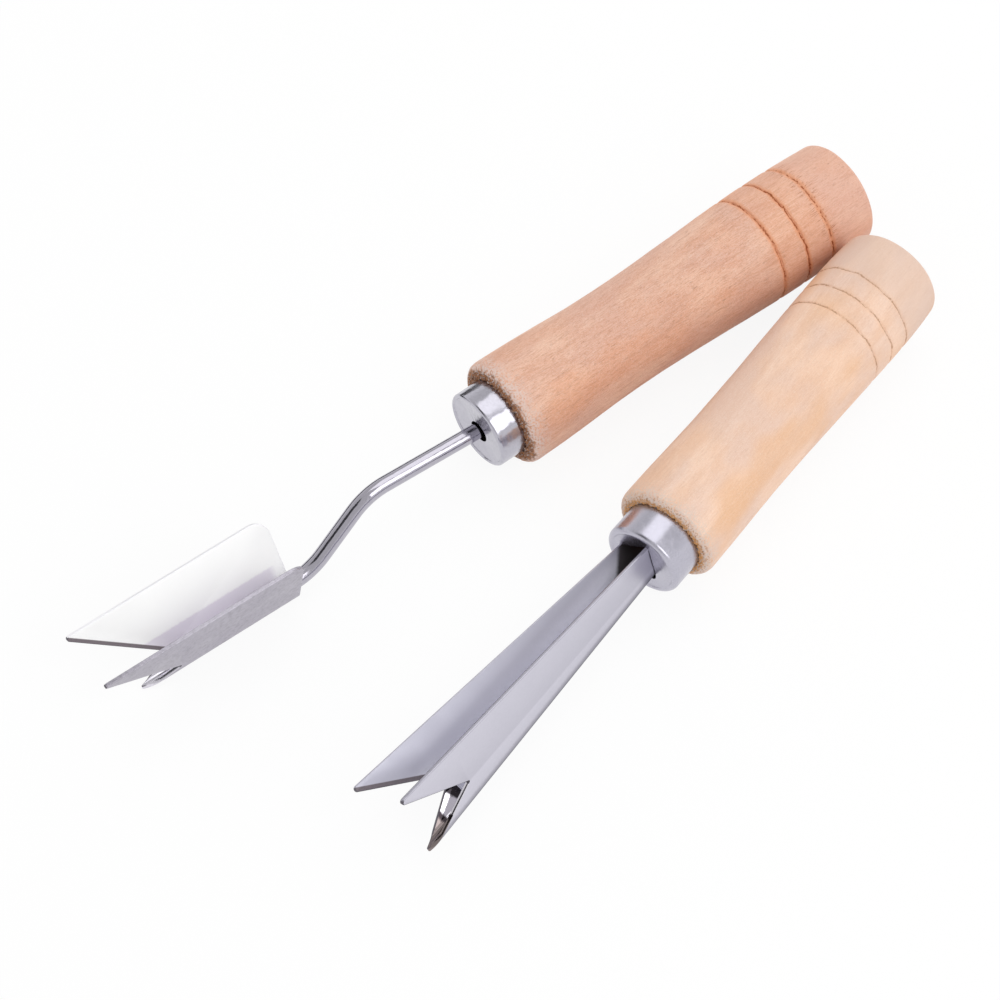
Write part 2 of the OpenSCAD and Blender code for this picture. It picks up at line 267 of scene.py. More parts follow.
# The handles: the shoulder, waist, belly and butt are diameters.
forkWood = {
    "length": 99.1, "shoulder": 27.7, "waist": 26.8, "belly": 28.6, "butt": 27.3,
    "waistAt": 31.1, "bellyAt": 87.1, "ringGap": 6.5, "spigot": 3.8,
    "tear": 1.1, "ringDepths": (0.14, 0.14, 0.14), "ringTear": 0.25,
}
scraperWood = {
    "length": 112.2, "shoulder": 28.9, "waist": 26.8, "belly": 29.9, "butt": 28.6,
    "waistAt": 38.2, "bellyAt": 91.6, "ringGap": 8.0, "spigot": 1.9,
    "tear": 2.1, "ringDepths": (0.07, 0.24, 0.2), "ringTear": 0.6,
}
turning = {
    "shoulderRound": 2.5, "buttRound": 1.8, "rings": 3, "firstRing": 14.9, "ringWidth": 0.36,
    "collarPlay": 0.02, "spigotPlay": 0.1, "sides": 68, "lipReach": 4.5, "lipGrain": 0.6,
    "ringGrain": 0.8, "warp": 0.16, "warpSize": 9.0,
}

# The woods: colours, and how much of each shows.
paleFibre = (1.0, 0.9, 0.82, 1.0)
white = (1.0, 1.0, 1.0, 1.0)
pinkWood = {
    "pale": srgb(240, 196, 171), "deep": srgb(229, 177, 150), "blotch": srgb(221, 174, 155),
    "hair": srgb(196, 138, 108), "streak": srgb(196, 138, 108), "pore": srgb(158, 104, 78),
    "orange": srgb(232, 158, 112), "ring": srgb(172, 96, 56), "fray": srgb(204, 144, 104),
    "frayDarkAndCupShade": srgb(130, 86, 58), "dust": srgb(226, 206, 198), "end": srgb(206, 150, 124),
    "blotchShare": 0.5, "hairShare": 0.42, "streakShare": 0.45, "poreShare": 0.25, "orangeShare": 0.4,
    "nickShare": 0.4, "ringShare": 1.0, "haloShare": 0.6, "bandShare": 0.22,
    "butt": srgb(232, 182, 162), "buttShare": 0.3, "breaks": 0.95, "crossShare": 0.9, "paleHair": 0.12,
    "speckle": 0.3, "frayMix": 0.4, "frayTo": 3.5, "frayWander": 6.0, "dustTo": 11.0, "dustShare": 0.95,
    "grainBump": 0.85,
}
paleWood = {
    "pale": srgb(245, 210, 186), "deep": srgb(236, 195, 166), "blotch": srgb(229, 198, 182),
    "hair": srgb(212, 172, 145), "streak": srgb(214, 171, 141), "pore": srgb(186, 146, 118),
    "orange": srgb(233, 184, 142), "ring": srgb(178, 134, 104), "fray": srgb(214, 158, 104),
    "frayDarkAndCupShade": srgb(140, 98, 68), "dust": srgb(214, 200, 192), "end": srgb(222, 186, 160),
    "blotchShare": 0.65, "hairShare": 0.22, "streakShare": 0.2, "poreShare": 0.15, "orangeShare": 0.75,
    "nickShare": 0.12, "ringShare": 0.75, "haloShare": 0.15, "bandShare": 0.0,
    "butt": srgb(217, 192, 178), "buttShare": 0.5, "breaks": 0.0, "crossShare": 0.1, "paleHair": 0.08,
    "speckle": 0.16, "frayMix": 0.53, "frayTo": 1.9, "frayWander": 2.4, "dustTo": 9.5, "dustShare": 0.8,
    "grainBump": 0.5,
}


def woodRadius(wood, at):
    shoulder, waist, belly, butt = (wood[k] / 2 for k in ("shoulder", "waist", "belly", "butt"))
    if at < wood["waistAt"]:
        start = turning["shoulderRound"]
        return shoulder + (waist - shoulder) * ease((at - start) / (wood["waistAt"] - start))
    if at < wood["bellyAt"]:
        return waist + (belly - waist) * ease((at - wood["waistAt"]) / (wood["bellyAt"] - wood["waistAt"]))
    fall = (at - wood["bellyAt"]) / (wood["length"] - wood["bellyAt"])
    return belly - (belly - butt) * (1 - math.cos(math.pi / 2 * fall))


def ringPlaces(wood):
    return [wood["length"] - turning["firstRing"] - i * wood["ringGap"] for i in range(turning["rings"])]


def rest(wood):  # the wood lies on its shoulder and its belly
    tilt = math.atan((wood["belly"] - wood["shoulder"]) / 2 / (wood["bellyAt"] - turning["shoulderRound"]))
    height = wood["shoulder"] / 2 * math.cos(tilt) - turning["shoulderRound"] * math.sin(tilt)
    return shift(z=height), turn(x=math.degrees(tilt))


def woodGrain(tree, local, skin):
    def drawn(vector, along, *settings, turned=(0, 0, 0)):  # a noise drawn out along the handle
        return noise(tree, stretched(tree, vector, (1, along, 1), turned), *settings)

    return {
        "fuzz": noise(tree, local, 0.32, 3, 0.7),
        "rough": noise(tree, local, 0.5, 3, 0.7),
        "grit": noise(tree, local, 0.5, 1, 0.5),
        "lumps": noise(tree, local, 1.5, 2, 0.5),
        "curls": noise(tree, local, 2.6, 3, 0.6, 1.5),
        "drift": noise(tree, local, 4.5, 1),
        "broad": drawn(local, 0.2, 7, 3, 0.5, 0.8),
        "patches": drawn(local, 0.6, 13, 2, 0.5),
        "warm": drawn(local, 0.45, 17, 2, 0.5, turned=(0.3, 0.2, 0.9)),
        "streaks": drawn(skin, 0.06, 0.8, 4, 0.65),
        "hairs": drawn(skin, 0.065, 0.17, 3, 0.6, turned=(0, 0, 0.05)),
        "pores": drawn(skin, 0.14, 0.2, 2, 0.5, turned=(0, 0, 0.06)),
        "nicks": drawn(skin, 0.1, 0.34, 2, 0.5, turned=(0, 0, 0.75)),
    }


def grainColour(tree, look, grain):
    colour = blendColour(tree, remap(tree, grain["broad"], 0.35, 0.65), look["pale"], look["deep"])
    layers = (
        ("patches", 0.42, 0.62, "blotchShare", look["blotch"]),
        ("warm", 0.52, 0.68, "orangeShare", look["orange"]),
        ("streaks", 0.5, 0.72, "streakShare", look["streak"]),
        ("hairs", 0.5, 0.66, "hairShare", look["hair"]),
        ("hairs", 0.5, 0.34, "paleHair", paleFibre),
        ("pores", 0.58, 0.7, "poreShare", look["pore"]),
    )
    for name, low, high, share, over in layers:
        colour = blendColour(tree, remap(tree, grain[name], low, high, 0.0, look[share]), colour, over)
    nicks = remap(tree, grain["nicks"], 0.64, 0.72, 0.0, look["nickShare"])
    scratch = maths(tree, "MULTIPLY", nicks, remap(tree, grain["lumps"], 0.5, 0.6))
    colour = blendColour(tree, scratch, colour, look["pore"])
    specks = remap(tree, grain["fuzz"], 0.5, 0.34, 0.0, look["speckle"])
    colour = blendColour(tree, specks, colour, look["hair"])
    colour = blendColour(tree, remap(tree, grain["fuzz"], 0.5, 0.68, 0.0, 0.16), colour, white)
    return colour, scratch


def ringColour(tree, wood, look, grain, along, colour):  # the scribed lines, their halos and torn fibres
    rings = ringPlaces(wood)
    torn = maths(tree, "ADD", along, total(
        tree, (maths(tree, "SUBTRACT", grain["drift"], 0.5), 1.3),
        (maths(tree, "SUBTRACT", grain["rough"], 0.5), 1.0)))
    between = maths(tree, "MULTIPLY", remap(tree, torn, rings[-1] - 4.0, rings[-1] + 1.0),
                    remap(tree, torn, rings[0], rings[0] + 5.0, look["bandShare"], 0.0))
    colour = blendColour(tree, between, colour, look["orange"])
    buttEnd = remap(tree, torn, rings[1], rings[0] + 5.0, 0.0, look["buttShare"])
    colour = blendColour(tree, buttEnd, colour, look["butt"])

    off = [maths(tree, "ABSOLUTE", maths(tree, "SUBTRACT", torn, at)) for at in rings]
    lines = [remap(tree, gap, 0.08, 0.26, 1.0, 0.0) for gap in off]
    halos = [remap(tree, gap, 0.2, 1.3, 1.0, 0.0) for gap in off]
    broken = remap(tree, grain["lumps"], 0.48, 0.58, 1.0 - look["breaks"], 1.0)
    lines[0] = maths(tree, "MULTIPLY", lines[0], broken)  # the ring nearest the butt
    fibres = maths(tree, "MULTIPLY", remap(tree, off[0], 1.0, 3.4, 1.0, 0.0),
                   remap(tree, grain["hairs"], 0.57, 0.66, 0.0, look["crossShare"]))
    colour = blendColour(tree, fibres, colour, look["ring"])
    halo = maths(tree, "MULTIPLY", largest(tree, halos), look["haloShare"])
    colour = blendColour(tree, halo, colour, look["orange"])
    thin = remap(tree, grain["lumps"], 0.32, 0.5, 0.1, 1.0)
    line = maths(tree, "MULTIPLY", maths(tree, "MULTIPLY", largest(tree, lines), thin), look["ringShare"])
    return blendColour(tree, line, colour, look["ring"]), fibres


def frayColour(tree, look, grain, fromSteel, along, colour):  # torn fibres and dust round the ferrule
    out = total(tree, (fromSteel, 1.0), (along, 1.0),
                (maths(tree, "SUBTRACT", grain["curls"], 0.5), look["frayWander"]))
    dusty = remap(tree, out, look["frayTo"], look["dustTo"], 1.0, 0.0)
    dusty = maths(tree, "MULTIPLY", dusty, remap(tree, grain["grit"], 0.42, 0.56))
    colour = blendColour(tree, maths(tree, "MULTIPLY", dusty, look["dustShare"]), colour, look["dust"])
    specks = maths(tree, "MULTIPLY", remap(tree, out, 1.0, look["dustTo"] * 0.6, 1.0, 0.0),
                   remap(tree, grain["grit"], 0.44, 0.36, 0.0, 0.8))
    colour = blendColour(tree, specks, colour, look["frayDarkAndCupShade"])
    frayed = remap(tree, out, look["frayTo"] - 1.0, look["frayTo"] + 0.5, 1.0, 0.0)
    fibre = blendColour(tree, remap(tree, grain["rough"], look["frayMix"], look["frayMix"] + 0.13),
                        look["fray"], look["frayDarkAndCupShade"])
    fibre = blendColour(tree, remap(tree, grain["grit"], 0.56, 0.62, 0.0, 0.8), fibre, look["dust"])
    return blendColour(tree, frayed, colour, fibre), frayed


def buttColour(tree, wood, look, grain, local, along, colour):  # growth rings on the sawn end
    offCentre = put(tree, "ShaderNodeMapping", {"Vector": local, "Scale": (1, 0, 1), "Location": (6, 0, -9)})
    fromPith = put(tree, "ShaderNodeVectorMath", {0: offCentre.outputs[0]}, operation="LENGTH")
    wavy = total(tree, (fromPith.outputs["Value"], 1.0), (grain["broad"], 2.5))
    years = noise(tree, put(tree, "ShaderNodeCombineXYZ", {"X": wavy}).outputs[0], 1.1, 3, 0.6)
    sawn = blendColour(tree, remap(tree, years, 0.38, 0.62), look["end"], look["streak"])
    sawn = blendColour(tree, remap(tree, grain["fuzz"], 0.55, 0.7, 0.0, 0.4), sawn, look["pore"])
    atEnd = remap(tree, along, wood["length"] - 0.35, wood["length"] - 0.1, 0.0, 0.8)
    return blendColour(tree, atEnd, colour, sawn)


def woodFinish(name, place, wood, look):
    material, tree, shader, local = newFinish(name, place)
    away, along, skin = roundAxis(tree, local)
    fromSteel = maths(tree, "SUBTRACT", away, cups["radius"])
    grain = woodGrain(tree, local, skin)
    colour, scratch = grainColour(tree, look, grain)
    colour, fibres = ringColour(tree, wood, look, grain, along, colour)
    colour, frayed = frayColour(tree, look, grain, fromSteel, along, colour)
    colour = buttColour(tree, wood, look, grain, local, along, colour)
    # partly glue, partly painted shade: the wood inside the cup is darkened towards the dark fibre colour
    inCupGlueAndShade = maths(tree, "MULTIPLY", remap(tree, along, -0.3, 0.0, 0.5, 0.0),
                  remap(tree, fromSteel, -0.4, -0.1, 1.0, 0.0))
    colour = blendColour(tree, inCupGlueAndShade, colour, look["frayDarkAndCupShade"])
    tree.links.new(colour, shader.inputs["Base Color"])
    tree.links.new(remap(tree, grain["fuzz"], 0.3, 0.7, 0.52, 0.72), shader.inputs["Roughness"])
    shader.inputs["Specular IOR Level"].default_value = 0.3
    relief = total(tree, (grain["streaks"], 0.4), (grain["pores"], -0.6), (grain["fuzz"], 0.6),
                   (scratch, -1.2), (fibres, -0.3), (maths(tree, "MULTIPLY", grain["rough"], frayed), 3.0))
    bump = put(tree, "ShaderNodeBump", {"Height": relief, "Strength": look["grainBump"], "Distance": 0.0002})
    tree.links.new(bump.outputs[0], shader.inputs["Normal"])
    return material


def woodOutline(wood):
    spigot = cups["radius"] - cups["wall"] - turning["spigotPlay"]
    collar, sink = cups["radius"] + turning["collarPlay"], cups["sink"]
    start, end = turning["shoulderRound"], wood["length"] - turning["buttRound"]
    points = [(0, -wood["spigot"]), (spigot * 0.6, -wood["spigot"]), (spigot - 0.2, -wood["spigot"]),
              (spigot, -wood["spigot"] + 0.2), (spigot, sink), (spigot + 0.1, sink),
              (collar, sink), (collar, sink - 0.1), (collar, 0.1), (collar + 0.1, 0), (collar + 0.5, 0)]
    shoulder = wood["shoulder"] / 2
    for i in range(6):
        a = math.pi / 2 * i / 6
        points.append((shoulder - start * (1 - math.sin(a)), start * (1 - math.cos(a))))
    at = start
    half = turning["ringWidth"] / 2
    stops = sorted(ringPlaces(wood))
    while at < end - 0.5:
        near = [s for s in stops if s - half - 0.7 < at]
        if near:  # a ring: how far off its middle each point lies, and how deep
            s = near[0]
            stops.remove(s)
            depth = wood["ringDepths"][len(stops)]
            for off, deep in ((-half - 0.25, 0), (-half, 0.03), (-half * 0.3, depth),
                              (half * 0.3, depth), (half, 0.03), (half + 0.25, 0)):
                points.append((woodRadius(wood, s + off) - deep, s + off))
            at = s + half + 1.5
        else:
            points.append((woodRadius(wood, at), at))
            at += 0.7 if at < start + 2 else 2.4  # finer next to the shoulder
    butt, edge = woodRadius(wood, end), turning["buttRound"]
    for i in range(6):
        a = math.pi / 2 * i / 5
        points.append((butt - edge * (1 - math.cos(a)), end + edge * math.sin(a)))
    return points + [(butt - edge - 0.6, wood["length"]), (butt * 0.5, wood["length"]), (0, wood["length"])]


def turnHandle(name, place, wood, look, node):
    piece = startPiece(name)
    drawOutline(woodOutline(wood))
    spinOutline(turning["sides"])
    modify(piece, "SUBSURF", levels=2, render_levels=2)
    rings = ringPlaces(wood)

    def fromCup(p):
        return math.hypot(p.x, p.z) - cups["radius"] + p.y

    def onLip(p):
        return 1.0 - fromCup(p) / turning["lipReach"] if p.y > -0.1 and fromCup(p) > 0.05 else 0.0

    mark(piece, "lip", onLip)
    mark(piece, "rings", lambda p: 1.0 - min(abs(p.y - s) for s in rings))
    mark(piece, "skin", lambda p: 1.0 if p.y > 1.5 else 0.0)
    wear(piece, turning["warpSize"], turning["warp"], "skin")
    wear(piece, turning["lipGrain"], wood["tear"], "lip", depth=2, level=0.56)
    wear(piece, turning["ringGrain"], wood["ringTear"], "rings", depth=2)
    piece.data.materials.append(woodFinish(name + "Wood", place, wood, look))
    layPiece(piece, place, node)


# The steels: rough goes from the smoothest streak to the roughest. A tone comes in from its start to its
# end, counted along the blade, up its flanges or across it by the shares that the tone gives. Most tones are
# painted shade, painted shadow or painted reflection.
plainSteel = {"lines": (1, 1, 1), "mottleSize": 0.8, "metal": 1.0, "grazing": 1.0, "tonesAndPaintedLight": ()}
chrome = {
    **plainSteel, "tint": srgb(190, 188, 198), "rough": (0.15, 0.26), "wave": 0.3, "waveSize": 2.4,
    "scratch": 0.1, "mottle": 0.15, "turned": 0.1,
}
satinChrome = {
    **plainSteel, "tint": srgb(190, 188, 200), "rough": (0.2, 0.32), "wave": 0.15, "waveSize": 3.0,
    "scratch": 0.15, "mottle": 0.12, "turned": 0.35,
}
# darker, rough steel for the inside of the cup: partly its unpolished inside, partly painted shade seen
# through the hole
cupInside = {
    **plainSteel, "tint": srgb(112, 108, 112), "rough": (0.5, 0.6), "wave": 0.2, "waveSize": 1.0,
    "scratch": 0.2, "mottle": 0.4,
}
forkOutside = {
    **plainSteel, "tint": srgb(211, 209, 220), "rough": (0.3, 0.4), "wave": 0.08, "waveSize": 8.0,
    # painted shade: the low grazing tint dims the fold's reflection, as where it mirrors a shadowed floor
    "scratch": 0.12, "lines": (1, 0.04, 1), "mottle": 0.06, "grazing": 0.35,
    # painted shade: darker round the fold
    "tonesAndPaintedLight": [{"colour": srgb(176, 174, 184), "high": -1, "start": -1.0, "end": 0.6}],
}
forkInside = {
    **plainSteel, "tint": srgb(198, 197, 210), "ground": srgb(118, 110, 116), "rough": (0.42, 0.5),
    "wave": 0.05, "waveSize": 8.0, "scratch": 0.08, "lines": (1, 0.04, 1), "mottle": 0.04, "metal": 0.6,
    "tonesAndPaintedLight": [
        # darker towards the ferrule
        {"colour": srgb(172, 170, 183), "along": 1, "start": -62, "end": -8},
        # painted light: lighter low on the flanges, lifting the shade between them
        {"colour": srgb(224, 223, 234), "along": -0.061, "high": -1, "start": -8.2, "end": -4.2},
        # painted shade: dark deep in the V next to the ferrule, reaching further forward low down
        {"colour": srgb(78, 73, 76), "along": 1, "high": -1.35, "start": -12.6, "end": -10.4},
    ],
}
forkPoint = {
    **plainSteel, "tint": srgb(226, 223, 230), "rough": (0.06, 0.12), "wave": 0.12, "waveSize": 3.0,
    "scratch": 0.1, "lines": (1, 0.05, 1), "mottle": 0.1,
    "tonesAndPaintedLight": [
        # painted reflection: a dark line, then a brown-grey end towards the point
        {"colour": srgb(58, 52, 56), "along": -1, "start": 79.6, "end": 80.2},
        {"colour": srgb(138, 127, 126), "along": -1, "start": 80.9, "end": 81.8},
        # painted shadow: dark towards the root of the tongue
        {"colour": srgb(56, 52, 56), "along": 1, "across": -0.8, "start": -73.4, "end": -72.6},
    ],
}
forkRim = {
    **plainSteel, "tint": srgb(184, 182, 193), "rough": (0.3, 0.4), "wave": 0.05, "waveSize": 4.0,
    "scratch": 0.1, "mottle": 0.2,
}
scraperOutside = {
    **plainSteel, "tint": srgb(186, 182, 192), "rough": (0.4, 0.52), "wave": 0.15, "waveSize": 3.0,
    "scratch": 0.25, "lines": (1, 0.3, 1), "mottle": 0.45, "mottleSize": 1.2,
}
scraperInside = {
    # painted highlight: the inside is a white, barely metallic copy of the scraper's steel, standing in for
    # a blown-out lamp reflection
    **plainSteel, "tint": srgb(255, 255, 255), "ground": srgb(116, 106, 112), "rough": (0.3, 0.38),
    "wave": 0.04, "waveSize": 9.0, "scratch": 0.08, "lines": (1, 0.1, 1), "mottle": 0.0, "metal": 0.15,
    "tonesAndPaintedLight": [
        # painted shadow: a lilac strip low on the flange, where the near flange shades the far one
        {"colour": srgb(232, 227, 237), "high": -1, "start": -7.9, "end": -7.1, "from": -4.4, "to": -1.9},
    ],
}
scraperPoint = {
    **plainSteel, "tint": srgb(222, 219, 228), "rough": (0.1, 0.18), "wave": 0.12, "waveSize": 3.0,
    "scratch": 0.1, "lines": (1, 0.1, 1), "mottle": 0.2,
    # darker towards the end of the tongue
    "tonesAndPaintedLight": [{"colour": srgb(96, 90, 98), "along": -1, "start": 51.5, "end": 53.5}],
}
scraperRim = {
    # painted highlight: the far rim is nearly white and barely metallic, to fade into the painted white
    # inside
    **plainSteel, "tint": srgb(250, 249, 252), "rough": (0.3, 0.4), "wave": 0.05, "waveSize": 4.0,
    "scratch": 0.1, "mottle": 0.05, "metal": 0.3,
}
rodMetal = {
    **plainSteel, "tint": srgb(184, 181, 191), "rough": (0.07, 0.13), "wave": 0.08, "waveSize": 2.0,
    "scratch": 0.2, "lines": (1, 0.05, 1), "mottle": 0.15,
}
cutMetal = {
    **plainSteel, "tint": srgb(104, 100, 107), "rough": (0.35, 0.5), "wave": 0.08, "waveSize": 0.8,
    "scratch": 0.2, "mottle": 0.4,
}
weldMetal = {
    **plainSteel, "tint": srgb(176, 170, 168), "rough": (0.22, 0.4), "wave": 0.3, "waveSize": 0.8,
    "scratch": 0.3, "mottle": 0.5,
}


def bladeColour(tree, local, look, blade, mottle, colour):  # tones, most of them painted shade and painted reflection, and the bevel ground along the notch
    x, y, z = put(tree, "ShaderNodeSeparateXYZ", {0: local}).outputs
    sideways = maths(tree, "ABSOLUTE", x)
    height = total(tree, (sideways, math.sin(blade["half"])), (z, math.cos(blade["half"])))
    for tone in look["tonesAndPaintedLight"]:
        spread = total(tree, (y, tone.get("along", 0)), (height, tone.get("high", 0)),
                       (x, tone.get("across", 0)), (mottle, 0.8))
        where = remap(tree, spread, tone["start"], tone["end"])
        if "from" in tone:
            where = maths(tree, "MULTIPLY", where, remap(tree, y, tone["from"], tone["to"], 1.0, 0.0))
        colour = blendColour(tree, where, colour, tone["colour"])
    floor, notch = blade["floor"], blade["notch"]
    rise = blade["frontWidth"] - floor
    side = math.hypot(rise, notch)
    inward = total(tree, (y, rise / side), (height, notch / side))  # square to the notch's edge
    limit = (floor * notch - blade["root"] * rise) / side + folded["ground"]
    ground = maths(tree, "MULTIPLY", remap(tree, height, floor - 0.6, floor - 0.3),
                   remap(tree, inward, limit - 0.12, limit + 0.12, 1.0, 0.0))
    return blendColour(tree, ground, colour, look.get("ground", look["tint"]))


def steelFinish(name, place, look, blade=None):
    material, tree, shader, local = newFinish(name, place)
    lines = noise(tree, stretched(tree, local, look["lines"]), 0.12, 3, 0.6)
    mottle = noise(tree, local, look["mottleSize"], 4, 0.7)
    cloud = noise(tree, local, 6, 2, 0.5)
    waves = noise(tree, local, look["waveSize"], 1, 0.4)
    shade = maths(tree, "MULTIPLY", remap(tree, mottle, 0.4, 0.7), look["mottle"])
    dark = tuple(c * 0.6 for c in look["tint"][:3]) + (1.0,)
    colour = blendColour(tree, shade, look["tint"], dark)
    if blade:
        colour = bladeColour(tree, local, look, blade, mottle, colour)
    tree.links.new(colour, shader.inputs["Base Color"])
    shader.inputs["Metallic"].default_value = look["metal"]
    shader.inputs["Specular Tint"].default_value = (look["grazing"],) * 3 + (1.0,)
    mixed = total(tree, (lines, 0.5), (cloud, 0.5))
    tree.links.new(remap(tree, mixed, 0.38, 0.62, *look["rough"]), shader.inputs["Roughness"])
    relief = lines
    if "turned" in look:
        away = roundAxis(tree, local)[0]
        rings = noise(tree, put(tree, "ShaderNodeCombineXYZ", {"X": away}).outputs[0], 0.35, 2, 0.6)
        relief = total(tree, (lines, 1.0), (rings, look["turned"] * 30))
    fine = put(tree, "ShaderNodeBump", {"Height": relief, "Strength": look["scratch"], "Distance": 0.00002})
    broad = put(tree, "ShaderNodeBump", {
        "Height": waves, "Strength": look["wave"], "Distance": 0.0005, "Normal": fine.outputs[0]})
    tree.links.new(broad.outputs[0], shader.inputs["Normal"])
    return material


# The ferrules are drawn cups, the fork's punched for the folded tail and the scraper's for the rod.
cups = {
    "radius": 10.35, "wall": 0.8, "recess": 0.4, "sink": 1.4, "dent": 0.12, "dentSize": 5.0, "sides": 96,
    "forkLength": 9.0, "forkRim": 1.3, "scraperLength": 7.1, "scraperRim": 0.8, "bevel": 0.1,
    "holePlay": 0.15, "holeRound": 1.2, "torn": 1.3, "tornSize": 0.9,
    "rodPlay": 0.9, "rodOff": 0.4, "rodTorn": 0.15, "rodTornSize": 1.2, "punch": 5.0,
}


def ferruleOutline(length, rim):
    r, wall = cups["radius"], cups["wall"]
    plate = cups["recess"] - length
    points = [(0, plate + wall), (r - wall, plate + wall), (r - wall, cups["sink"]), (r, cups["sink"]),
              (r, cups["sink"] * 0.5), (r, 0)]
    steps = 8
    for i in range(steps + 1):
        a = math.pi / 2 * i / steps
        points.append((r - rim * (1 - math.cos(a)), rim * (1 - math.sin(a)) - length))
    edge = r - rim
    inner = edge - cups["recess"]
    return points + [(edge - 0.15, -length + 0.06), (inner, plate - 0.05), (inner - 0.3, plate), (0, plate)]


def punchTailHole():  # a rounded triangle round the folded sheet, with a torn edge
    half = math.radians(folded["halfAngle"])
    clear = foldOut + cups["holePlay"]
    low = -clear / math.sin(half)
    top = forkSteel["backWidth"] * math.cos(half) - foldOut * math.sin(half) + cups["holePlay"]
    side = (top - low) * math.tan(half)
    piece = startPiece("tailHole")
    drawOutline([(side, top), (-side, top), (0, low)])
    bpy.ops.mesh.select_all(action="SELECT")
    bpy.ops.mesh.edge_face_add()
    pick("verts", lambda p, v: p.y > 0)
    bpy.ops.mesh.bevel(offset=cups["holeRound"], segments=5, affect="VERTICES")
    pick("verts", lambda p, v: p.y < low + 0.01)
    bpy.ops.mesh.bevel(offset=clear / math.tan(half), segments=12, affect="VERTICES")
    pick("edges", lambda p, e: e.calc_length() > 1.5)
    bpy.ops.mesh.subdivide(number_cuts=17)
    bpy.ops.mesh.select_all(action="SELECT")
    bpy.ops.transform.translate(value=(0, 0, -2))  # the punch goes right through the plate
    bpy.ops.mesh.extrude_region_move(TRANSFORM_OT_translate={"value": (0, 0, cups["punch"])})
    bpy.ops.mesh.select_all(action="SELECT")
    turnSelected(-math.pi / 2, "X")
    pick("edges", lambda p, e: abs(e.verts[0].co.y - e.verts[1].co.y) > cups["punch"] - 1)
    bpy.ops.mesh.subdivide(number_cuts=9)
    closePiece()
    mark(piece, "torn", lambda p: 0.15 if p.x > -0.5 else 1.0)
    wear(piece, cups["tornSize"], cups["torn"], "torn", depth=2, level=0.5)
    piece.matrix_world = forkPlace.inverted() @ forkBladePlace
    return piece


def punchRodHole():
    piece = startPiece("rodHole")
    clearPiece()
    radius = rodSteel["radius"] + cups["rodPlay"]
    bpy.ops.mesh.primitive_cylinder_add(vertices=72, radius=radius, depth=cups["punch"])
    turnSelected(math.pi / 2, "X")
    bpy.ops.transform.translate(value=(cups["rodOff"], 1 - cups["scraperLength"], 0))
    bpy.ops.object.mode_set(mode="OBJECT")
    wear(piece, cups["rodTornSize"], cups["rodTorn"], level=0.5)
    return piece


def drawFerrule(name, place, length, rim, punch, node, look):
    piece = startPiece(name)
    drawOutline(ferruleOutline(length, rim))
    spinOutline(cups["sides"])
    cutter = punch()
    modify(piece, "BOOLEAN", object=cutter, operation="DIFFERENCE")
    bpy.data.objects.remove(cutter)

    def onSkirt(p):
        return -p.y if p.y > 1.5 - length and math.hypot(p.x, p.z) > cups["radius"] - 0.25 else 0.0

    mark(piece, "skirt", onSkirt)
    wear(piece, cups["dentSize"], cups["dent"], "skirt")
    piece.data.materials.append(steelFinish(name + "Chrome", place, look))
    piece.data.materials.append(steelFinish(name + "Inside", place, cupInside))
    bore, plate = cups["radius"] - cups["wall"] + 0.05, cups["recess"] + cups["wall"] - length
    for f in piece.data.polygons:
        if math.hypot(f.center.x, f.center.z) < bore and f.center.y > plate - 0.02:
            f.material_index = 1  # inside the cup: darker steel, partly painted shade
    modify(piece, "BEVEL", width=cups["bevel"], segments=2, limit_method="ANGLE",
           angle_limit=math.radians(50))
    layPiece(piece, place, node, smooth=35)


# The folded blades. Widths and the notch's floor are measured up a flange from its fold, the fold's own
# point lies foldBack behind the other two, and the near rim is the top edge of the flange at +X.
folded = {
    "sheet": 1.0, "foldRadius": 1.3, "halfAngle": 20.5, "tip": 0.8, "root": 0.5, "edge": 0.2,
    "ground": 1.1, "blunt": 0.6, "tongueOff": 0.7, "foldSteps": 20, "tipSteps": 9,
}
forkSteel = {
    "back": 38.0, "reach": 92.2, "foldBack": 3.1, "notch": 20.7, "floor": 5.4, "frontWidth": 21.2,
    # the fork's near rim takes the dark cut steel on its inner half: a cut edge, and partly painted shade
    # along that edge
    "backWidth": 8.7, "roundBack": 0.0, "drop": 4.9, "slope": 2.2, "nearRim": "Cut",
}
scraperSteel = {
    "back": 0.0, "reach": 57.1, "foldBack": 12.0, "notch": 22.9, "floor": 2.2, "frontWidth": 20.9,
    "backWidth": 20.9, "roundBack": 4.5, "nearRim": "Outside",
}


def bladeShape(steel):  # a blade's sizes, and what follows from them
    half = math.radians(folded["halfAngle"])
    middle = folded["foldRadius"] + folded["sheet"] / 2
    floor, root, ahead = steel["floor"], steel["reach"] - steel["notch"], steel["reach"] - steel["foldBack"]
    return {
        **steel, "half": half, "middle": middle, "root": root, "ahead": ahead,
        "start": root + (ahead - root) * floor / (floor + middle * (math.pi / 2 - half)),
        "taper": (steel["frontWidth"] - steel["backWidth"]) / steel["reach"],
    }


def foldSheet(blade):  # a flange, the fold spun from its lower edge, then the other flange
    half, middle, width = blade["half"], blade["middle"], blade["frontWidth"]
    back, reach = blade["back"], blade["reach"]
    turnSelected(math.pi / 2, "Y")
    bpy.ops.transform.resize(value=(1, back + reach, width))
    bpy.ops.transform.translate(value=(middle, (back - reach) / 2, width / 2))
    turnSelected(-half, "Y")
    pick("edges", lambda p, e: p.z < 0.01)
    bpy.ops.mesh.spin(
        steps=folded["foldSteps"], angle=math.pi - 2 * half, center=(0, 0, 0), axis=(0, -1, 0))
    bpy.ops.mesh.extrude_edges_move(
        TRANSFORM_OT_translate={"value": (-width * math.sin(half), 0, width * math.cos(half))})


